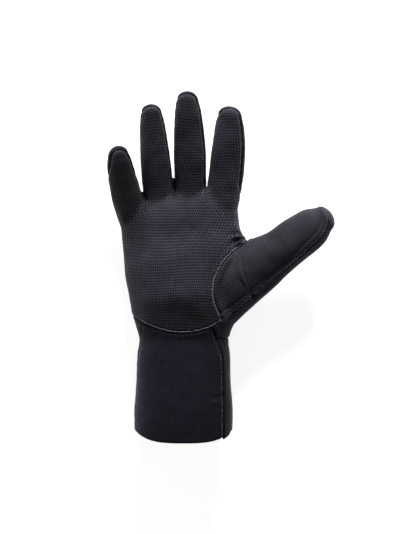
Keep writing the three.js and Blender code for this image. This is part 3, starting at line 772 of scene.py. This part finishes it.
weave[:, 1] += 1.1 * rolling(points, 60)
weave[:, 0] += 1.1 * rolling(points, 55) - (leanShift + fingerLean) * (x < 60)
print("weave laid")

# Painted light and shade in the tone of the cloth, which the materials read: paler above zero, darker below.
# The fingertips get a painted highlight, and the other regions painted light and shade, set against the
# brightness of the photograph.
shading = {
    "palmMiddle": 0.55, "littleFinger": -2.1, "lowPalm": -2.4, "outerThumb": 0.75, "cuffStrip": -1.1,
    "fingerEdges": -0.8, "slit": -5.0,
    "fingers": ([15, 35], [-1.0, -0.4]), "cuff": ([-40, -20, 15, 31], [0.7, 0, 0, -0.35]),
}


def patch(middle, reach, full, end=1.2):
    # 1 inside an oval seen from above, fading out at its edge
    return smoothStep(end, full, np.hypot((x - middle[0]) / reach[0], (y - middle[1]) / reach[1]))


# painted highlight on the tips of the fingers and thumb, where light falls on the caps
tipHighlight = np.zeros(len(points))
for digit in digits:
    along, across, _ = weaveOf(digit)
    atTip = smoothStep(digit["length"] - 11, digit["length"] - 1, along)
    tipHighlight = np.maximum(tipHighlight, atTip * (np.abs(across) < 0.75 * digit["width"]))
onCuffTop = (y < wristY) * (z > 15)
valley = ridge(x - np.interp(y, slitY, slitX[1]), 2.4)
# painted light: a pool of light on the middle of the palm
paintedLightAndShade = np.maximum(tipHighlight, shading["palmMiddle"] * patch((-8, 2), (30, 34), 0.2, 1.15) * (z > 20))
# painted shade over the fingers, less on the index finger
paintedLightAndShade += toFingers * np.interp(x, *shading["fingers"])
# painted shade over the little finger
paintedLightAndShade += shading["littleFinger"] * patch((-50, 48), (26, 52), 0.3)
# painted shade on the lower palm above the hem
paintedLightAndShade += shading["lowPalm"] * patch((2, -51), (50, 19), 0.4) * (inFront > 0)
# painted light on the thumb, growing towards its tip
paintedLightAndShade += shading["outerThumb"] * smoothStep(0.45, 0.85, thumbAlong / thumb["length"]) * (x > 60)
# painted shade on the upward faces of the cuff's right edge
paintedLightAndShade += shading["cuffStrip"] * smoothStep(31, 34, x) * smoothStep(0.3, 0.7, normals[:, 2]) * onCuffTop
# painted light on the cuff's left side and painted shade on its right
paintedLightAndShade += np.interp(x, *shading["cuff"]) * onCuffTop
# painted shade down the sides of the fingers, where they turn away from above
paintedLightAndShade += shading["fingerEdges"] * toFingers * smoothStep(0.85, 0.2, normals[:, 2]) * (inFront > 0)
# painted shade deep in the slit between the ring and middle fingers
paintedLightAndShade += shading["slit"] * valley * smoothStep(51, 56, y) * smoothStep(76, 72, y)
# all the painted light and shade but the tips' painted highlight belongs to the palm's side, and fades out
# round the edge of the hand
paintedLightAndShade = tipHighlight + (paintedLightAndShade - tipHighlight) * smoothStep(-0.5, 0.1, normals[:, 2])
print("tones laid")


def wallAt(spots):
    # thickness of the foam, thinner on the fingers and thumb
    onDigit = np.maximum(smoothStep(knuckleY - 6, knuckleY + 10, spots[:, 1]),
                         smoothStep(52, 66, spots[:, 0]))
    return hand["handWall"] + (hand["fingerWall"] - hand["handWall"]) * onDigit


def meshObject(name, allPoints, faces, materials, slots=None, layers=None):
    mesh = bpy.data.meshes.new(name)
    mesh.vertices.add(len(allPoints))
    mesh.vertices.foreach_set("co", (np.asarray(allPoints) * mm).ravel())
    faces = np.asarray(faces)
    sides = faces.shape[1]
    mesh.loops.add(faces.size)
    mesh.loops.foreach_set("vertex_index", faces.ravel())
    mesh.polygons.add(len(faces))
    mesh.polygons.foreach_set("loop_start", np.arange(0, faces.size, sides))
    mesh.polygons.foreach_set("use_smooth", np.ones(len(faces), bool))
    for material in materials:
        mesh.materials.append(material)
    if slots is not None:
        mesh.polygons.foreach_set("material_index", slots)
    for layer, values in (layers or {}).items():
        kind = "FLOAT_VECTOR" if values.ndim == 2 else "FLOAT"
        attribute = mesh.attributes.new(layer, kind, "POINT")
        attribute.data.foreach_set("vector" if values.ndim == 2 else "value", values.ravel())
    mesh.update(calc_edges=True)
    mesh.validate()
    made = bpy.data.objects.new(name, mesh)
    bpy.context.scene.collection.objects.link(made)
    return made


# Materials
def linear(hexColour):
    values = [int(hexColour[k:k + 2], 16) / 255 for k in (1, 3, 5)]
    return [v / 12.92 if v <= 0.04045 else ((v + 0.055) / 1.055) ** 2.4 for v in values] + [1.0]


def addNode(tree, kind, settings=None, inputs=None):
    # an input is a plain value, or the output of another node that is linked to it
    node = tree.nodes.new("ShaderNode" + kind)
    for name, value in (settings or {}).items():
        setattr(node, name, value)
    for socket, value in (inputs or {}).items():
        if isinstance(value, bpy.types.NodeSocket):
            tree.links.new(value, node.inputs[socket])
        else:
            node.inputs[socket].default_value = value
    return node


def newMaterial(name, **shaderValues):
    material = bpy.data.materials.new(name)
    material.use_nodes = True
    tree = material.node_tree
    tree.nodes.clear()
    shader = addNode(tree, "BsdfPrincipled")
    for socket, value in shaderValues.items():
        shader.inputs[socket.replace("_", " ")].default_value = value
    addNode(tree, "OutputMaterial", None, {"Surface": shader.outputs["BSDF"]})
    return material, tree, shader


bandScale = 2 * math.pi / 20      # scale of a wave texture with bands one unit apart


def weighted(tree, parts, total=0.0):
    # a number plus every part times its weight
    for part, weight in parts:
        step = addNode(tree, "Math", {"operation": "MULTIPLY_ADD"}, {0: part, 1: weight, 2: total})
        total = step.outputs["Value"]
    return total


def dress(tree, shader, lightness, tones, height, depth):
    # the lightness picks the colour from the tones, and the height is a relief as deep in millimetres
    ramp = addNode(tree, "ValToRGB", None, {"Fac": lightness})
    elements = ramp.color_ramp.elements
    while len(elements) < len(tones):
        elements.new(0.5)
    for element, (position, colour) in zip(elements, tones):
        element.position = position
        element.color = linear(colour)
    tree.links.new(ramp.outputs["Color"], shader.inputs["Base Color"])
    bump = addNode(tree, "Bump", None, {"Strength": 1.0, "Distance": depth * mm, "Height": height})
    tree.links.new(bump.outputs["Normal"], shader.inputs["Normal"])


def gripMaterial(name, rowPitch, columnPitch, turned, tones, depth, patchShare):
    # Grip fabric with a fine grid: the raised rows and columns get painted light, the pits between them
    # painted shade, and cloudy patches are paler where the fabric is brushed. The fingertips get a painted
    # highlight, palest of all.
    material, tree, shader = newMaterial(
        name, Roughness=0.74, Sheen_Weight=0.08, Sheen_Roughness=0.4, Specular_IOR_Level=0.28)
    weaveHere = addNode(tree, "Attribute", {"attribute_name": "weave"}).outputs["Vector"]
    # the painted light and shade of the cloth, palest at the fingertips' painted highlight
    paintedTone = addNode(tree, "Attribute", {"attribute_name": "paintedLightAndShade"}).outputs["Fac"]
    laid = addNode(tree, "Mapping", None, {"Vector": weaveHere, "Rotation": (0, 0, math.radians(turned))})
    rows, columns = (addNode(tree, "TexWave", {"bands_direction": way}, {
        "Vector": laid.outputs["Vector"], "Scale": bandScale / pitch,
        "Distortion": 0.6, "Detail": 1.0, "Detail Scale": 0.6,
    }).outputs["Fac"] for way, pitch in (("Y", rowPitch), ("X", columnPitch)))
    fibres, patches = (addNode(tree, "TexNoise", None, {
        "Vector": weaveHere, "Scale": 1 / size, "Detail": detail, "Roughness": rough,
    }).outputs["Fac"] for size, detail, rough in ((0.9, 4.0, 0.7), (15, 3.0, 0.6)))
    betweenRows = weighted(tree, [(rows, -0.75)], 1.0)
    betweenColumns = weighted(tree, [(columns, -1.0)], 1.0)
    pits = addNode(tree, "Math", {"operation": "MULTIPLY"}, {0: betweenRows, 1: betweenColumns})
    height = weighted(tree, [(pits.outputs["Value"], -0.8), (fibres, 0.35)], 0.8)
    # the relief's height also sets the colour: painted light on the raised grid, painted shade in the pits
    lightness = weighted(tree, [(patches, patchShare), (paintedTone, 0.16), (height, 1.0)], -0.5 * patchShare)
    tree.links.new(weighted(tree, [(height, -0.14)], 0.84), shader.inputs["Roughness"])
    dress(tree, shader, lightness, tones, height, depth)
    return material


def jerseyMaterial(name, tones):
    # Nylon jersey laminated on foam: blue-black, with fine wales and a soft sheen at its edges.
    # The knit is drawn at about 2 mm, coarser than the real one, so that it shows.
    material, tree, shader = newMaterial(
        name, Roughness=0.8, Sheen_Weight=0.16, Sheen_Roughness=0.35, Sheen_Tint=linear("#e2e4fb"),
        Specular_IOR_Level=0.2)
    weaveHere = addNode(tree, "Attribute", {"attribute_name": "weave"}).outputs["Vector"]
    # the painted light and shade of the cloth, palest at the fingertips' painted highlight
    paintedTone = addNode(tree, "Attribute", {"attribute_name": "paintedLightAndShade"}).outputs["Fac"]
    wales, courses = (addNode(tree, "TexWave", {"bands_direction": way}, {
        "Vector": weaveHere, "Scale": bandScale / pitch,
        "Distortion": 1.6, "Detail": 1.0, "Detail Scale": 0.9,
    }).outputs["Fac"] for way, pitch in (("X", 1.9), ("Y", 2.1)))
    fibres, slubs, patches = (addNode(tree, "TexNoise", None, {
        "Vector": weaveHere, "Scale": 1 / size, "Detail": detail, "Roughness": rough,
    }).outputs["Fac"] for size, detail, rough in ((1.3, 5.0, 0.75), (3.4, 3.0, 0.7), (20, 4.0, 0.6)))
    height = weighted(tree, [(courses, 0.16), (wales, 0.2), (fibres, 0.75), (slubs, 0.9)], -0.45)
    lightness = weighted(tree, [(patches, 0.4), (paintedTone, 0.35), (height, 1.0)], -0.2)
    dress(tree, shader, lightness, tones, height, 0.2)
    return material


def foamMaterial():
    # Cut edge of closed-cell foam: dark grey, dull, with pores just too fine to count.
    material, tree, shader = newMaterial("foam_cut_edge", Roughness=0.9, Specular_IOR_Level=0.3)
    spot = addNode(tree, "TexCoord").outputs["Object"]
    pores = addNode(tree, "TexVoronoi", None, {"Vector": spot, "Scale": 1 / (0.7 * mm)}).outputs["Distance"]
    patches = addNode(tree, "TexNoise", None, {
        "Vector": spot, "Scale": 1 / (6 * mm), "Detail": 3.0, "Roughness": 0.5}).outputs["Fac"]
    lightness = weighted(tree, [(patches, 0.5), (pores, 0.6)])
    dress(tree, shader, lightness, [(0.2, "#08080b"), (0.8, "#15161c")], pores, 0.25)
    return material


def liningMaterial():
    # Brushed nylon lining: black plush whose short pile scatters light softly.
    material, tree, shader = newMaterial(
        "plush_lining", Roughness=0.92, Sheen_Weight=0.2, Sheen_Roughness=0.6, Specular_IOR_Level=0.2)
    weaveHere = addNode(tree, "Attribute", {"attribute_name": "weave"}).outputs["Vector"]
    pile, patches = (addNode(tree, "TexNoise", None, {
        "Vector": weaveHere, "Scale": 1 / size, "Detail": detail, "Roughness": rough,
    }).outputs["Fac"] for size, detail, rough in ((0.8, 5.0, 0.75), (12, 3.0, 0.5)))
    lightness = weighted(tree, [(patches, 0.4), (pile, 0.6)])
    dress(tree, shader, lightness, [(0.3, "#0d0d11"), (0.8, "#212228")], pile, 0.4)
    return material


def threadMaterial(name, tones):
    # Spun polyester thread: two plies twisted together, a little glossier than the fabric.
    material, tree, shader = newMaterial(name, Roughness=0.6, Sheen_Weight=0.3, IOR=1.52)
    along = addNode(tree, "Attribute", {"attribute_name": "twist"}).outputs["Vector"]
    plies = addNode(tree, "TexWave", {"bands_direction": "DIAGONAL"}, {
        "Vector": along, "Scale": bandScale / 0.7, "Detail": 1.0}).outputs["Fac"]
    dress(tree, shader, plies, tones, plies, 0.08)
    return material


gripPalm = gripMaterial(
    "grip_knit_palm", rowPitch=2.45, columnPitch=2.05, turned=0, depth=0.7, patchShare=0.55,
    tones=[(0.42, "#05050d"), (1.0, "#3a3b4a")])
gripThumb = gripMaterial(
    "grip_knit_thumb", rowPitch=1.8, columnPitch=1.6, turned=20, depth=0.3, patchShare=0.5,
    tones=[(0.25, "#060608"), (1.0, "#2d2e39"), (1.0, "#34353f")])
# the palest stop, #3d3d42, is mostly reached under the fingertips' painted highlight
jersey = jerseyMaterial("nylon_jersey", [(0.2, "#030308"), (0.9, "#1e1f2f"), (1.0, "#3d3d42")])
foam = foamMaterial()
lining = liningMaterial()
paleThread = threadMaterial("thread_grey", [(0.2, "#565963"), (0.8, "#868a96")])
darkThread = threadMaterial("thread_slate", [(0.2, "#454851"), (0.8, "#70747f")])
print("materials made")


# A sewn panel: the skin inside its region, thickened inwards to the foam's real wall.
def panelObject(name, region, fabric, weaveHere):
    data = np.hstack([points, normals, weaveHere, paintedLightAndShade[:, None]])
    data, kept = clipped(data, triangles, regions[region] - seams["gap"])
    outer, outward, cloth = data[:, :3], data[:, 3:6], data[:, 6:9]
    outward /= np.linalg.norm(outward, axis=1)[:, None]
    inner = outer - outward * wallAt(outer)[:, None]
    openSides, _ = rimsOf(kept)
    count = len(outer)
    i, j = openSides.T
    rim = np.concatenate([np.stack([j, i, i + count], 1), np.stack([j, i + count, j + count], 1)])
    faces = np.concatenate([kept, kept[:, ::-1] + count, rim])
    slots = np.concatenate([np.zeros(len(kept), int), np.full(len(kept), 1), np.full(len(rim), 2)])
    # every point also carries the cloth's painted light and shade
    layers = {"weave": np.concatenate([cloth, cloth]), "paintedLightAndShade": np.tile(data[:, 9], 2)}
    made = meshObject(name, np.concatenate([outer, inner]), faces, [fabric, lining, foam], slots, layers)
    print(name, len(faces), "triangles")
    return made


thumbPanelWeave = thumbWeave + np.array([0, 0, 3.0])      # further up the pattern, apart from the palm's
panels = {
    "palm": panelObject("palm_fabric", "palm", gripPalm, weave),
    "thumb": panelObject("thumb_fabric", "thumb", gripThumb, thumbPanelWeave),
    "back": panelObject("back_fabric", "back", jersey, weave),
    "cuffFront": panelObject("cuff_front_fabric", "cuffFront", jersey, weave),
    "cuffBack": panelObject("cuff_back_fabric", "cuffBack", jersey, weave),
}
standsFor = {"palm": "palm_panel", "thumb": "thumb_panel", "back": "back_panel",
             "cuffFront": "cuff_front_panel", "cuffBack": "cuff_back_panel"}
for key, panel in panels.items():
    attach(panel, "root")
    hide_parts(standsFor[key])


# Stitches lie on the surface as short cords that dip into the fabric at both ends.
surface = BVHTree.FromPolygons(points.tolist(), triangles.tolist())
rings, sides = 5, 6        # of each cord


def onSurface(spot):
    location, normal, _, _ = surface.find_nearest(Vector(spot))
    return np.array(location), np.array(normal)


def stitchObject(name, paths, radius, material):
    # paths are lists of points in the air above the glove, and each becomes one tapered cord
    angles = 2 * np.pi * np.arange(sides) / sides
    allPoints, allFaces, twist = [], [], []
    for path in paths:
        start = sum(len(part) for part in allPoints)
        path = np.asarray(path)
        ground = [onSurface(spot) for spot in path]
        place = np.array([g[0] for g in ground])
        up = np.array([g[1] for g in ground])
        ahead = np.gradient(place, axis=0)
        ahead /= np.maximum(np.linalg.norm(ahead, axis=1), 1e-9)[:, None]
        side = np.cross(ahead, up)
        side /= np.maximum(np.linalg.norm(side, axis=1), 1e-9)[:, None]
        arch = np.sin(np.linspace(0, np.pi, rings))
        place = place + up * (radius * (0.75 * arch - 0.1))[:, None]
        size = radius * (0.72 + 0.28 * arch)
        ring = (place[:, None] + side[:, None] * (size[:, None] * np.cos(angles))[..., None]
                + up[:, None] * (size[:, None] * np.sin(angles))[..., None])
        allPoints.append(np.concatenate([ring.reshape(-1, 3), place[:1] - ahead[:1] * radius * 0.5,
                                         place[-1:] + ahead[-1:] * radius * 0.5]))
        length = np.linalg.norm(path[-1] - path[0])
        along = np.repeat(np.linspace(0, length, rings), sides)
        around = np.tile(angles * radius, rings)
        twist.append(np.concatenate([np.stack([along, around, 0 * along], 1), [[0, 0, 0], [length, 0, 0]]]))
        first, last = start + rings * sides, start + rings * sides + 1
        for j in range(sides):
            k = (j + 1) % sides
            allFaces.append((first, start + k, start + j))
            allFaces.append((last, start + (rings - 1) * sides + j, start + (rings - 1) * sides + k))
            for i in range(rings - 1):
                low, high = start + i * sides, start + (i + 1) * sides
                allFaces += [(low + j, low + k, high + k), (low + j, high + k, high + j)]
    made = meshObject(name, np.concatenate(allPoints), allFaces, [material], None,
                      {"twist": np.concatenate(twist)})
    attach(made, "root")
    print(name, len(paths), "stitches")
    return made


def placed(runs, pitch):
    # number, middle, way along the seam and way into the panel of every stitch
    for run in runs:
        spots = resampled(run, pitch)
        for i, (here, there) in enumerate(zip(spots, spots[1:])):
            ahead = (there - here) / np.linalg.norm(there - here)
            middle = 0.5 * (here + there)
            yield i, middle, ahead, np.cross(onSurface(middle)[1], ahead)


def running(runs, pitch, length, offset):
    # stitches along a seam, offset to its left as seen along the panel's rim
    t = np.linspace(-0.5, 0.5, rings)[:, None]
    return [middle + inwards * offset + ahead * t * length
            for _, middle, ahead, inwards in placed(runs, pitch)]


def crossing(runs, pitch, reach, lean):
    # stitches across a seam, alternately leaning forwards and back
    t = np.linspace(-1, 1, rings)[:, None]
    return [middle + (inwards * reach + ahead * (lean if i % 2 else -lean)) * t
            for i, middle, ahead, inwards in placed(runs, pitch)]


arcSewn = [run[4:-4] for run in arcRuns]
arcStitches = running(arcSewn, pitch=2.6, length=2.5, offset=1.0)
hemStitches = running(palmHemRuns, pitch=2.6, length=2.5, offset=0.9)
ladderStitches = crossing(thumbOuterRuns, pitch=1.4, reach=1.25, lean=0.4)
stitchObject("thread_thumb_arc", arcStitches, 0.46, paleThread)
stitchObject("thread_palm_hem", hemStitches, 0.5, darkThread)
stitchObject("thread_thumb_ladder", ladderStitches, 0.3, darkThread)

# Light, floor and camera
floorMesh = bpy.data.meshes.new("floor")
floorMesh.from_pydata([(-2, -2, 0), (2, -2, 0), (2, 2, 0), (-2, 2, 0)], [], [(0, 1, 2, 3)])
floor = bpy.data.objects.new("floor", floorMesh)
bpy.context.scene.collection.objects.link(floor)
floorMaterial, _, _ = newMaterial(
    "pale_floor", Base_Color=linear("#f0f0f0"), Roughness=0.9,
    Emission_Color=linear("#ffffff"), Emission_Strength=0.85)
floorMesh.materials.append(floorMaterial)

world = bpy.data.worlds.new("studio")
bpy.context.scene.world = world
world.use_nodes = True
world.node_tree.nodes["Background"].inputs["Color"].default_value = linear("#ffffff")
world.node_tree.nodes["Background"].inputs["Strength"].default_value = 0.06
bpy.context.scene.view_settings.view_transform = "Standard"

lamps = {
    "key": {"place": (0.15, 1.5, 0.56), "size": 0.5, "power": 40},
    "left": {"place": (-1.2, -0.3, 0.4), "size": 0.5, "power": 3},
    "right": {"place": (1.3, 0.3, 0.45), "size": 0.5, "power": 0.4},
    "top": {"place": (0, 0, 1.7), "size": 1.2, "power": 1},
}
for name, lamp in lamps.items():
    light = bpy.data.lights.new(name, "AREA")
    light.shape = "DISK"
    light.size = lamp["size"]
    light.energy = lamp["power"]
    holder = bpy.data.objects.new(name, light)
    holder.location = lamp["place"]
    holder.rotation_euler = (-Vector(lamp["place"])).to_track_quat("-Z", "Y").to_euler()
    bpy.context.scene.collection.objects.link(holder)

# The photograph looks straight down on the palm. A pixel is 0.862 mm at the glove's middle height.
pixel = 0.862 * mm
photoHeight = 534 * pixel
middleHeight = 27 * mm
distance = 1.5
cameraData = bpy.data.cameras.new("camera")
cameraData.sensor_fit = "VERTICAL"
cameraData.sensor_height = 24
cameraData.lens = cameraData.sensor_height * distance / photoHeight
camera = bpy.data.objects.new("camera", cameraData)
camera.location = (15.5 * mm, -6 * mm, distance + middleHeight)
bpy.context.scene.collection.objects.link(camera)
bpy.context.scene.camera = camera
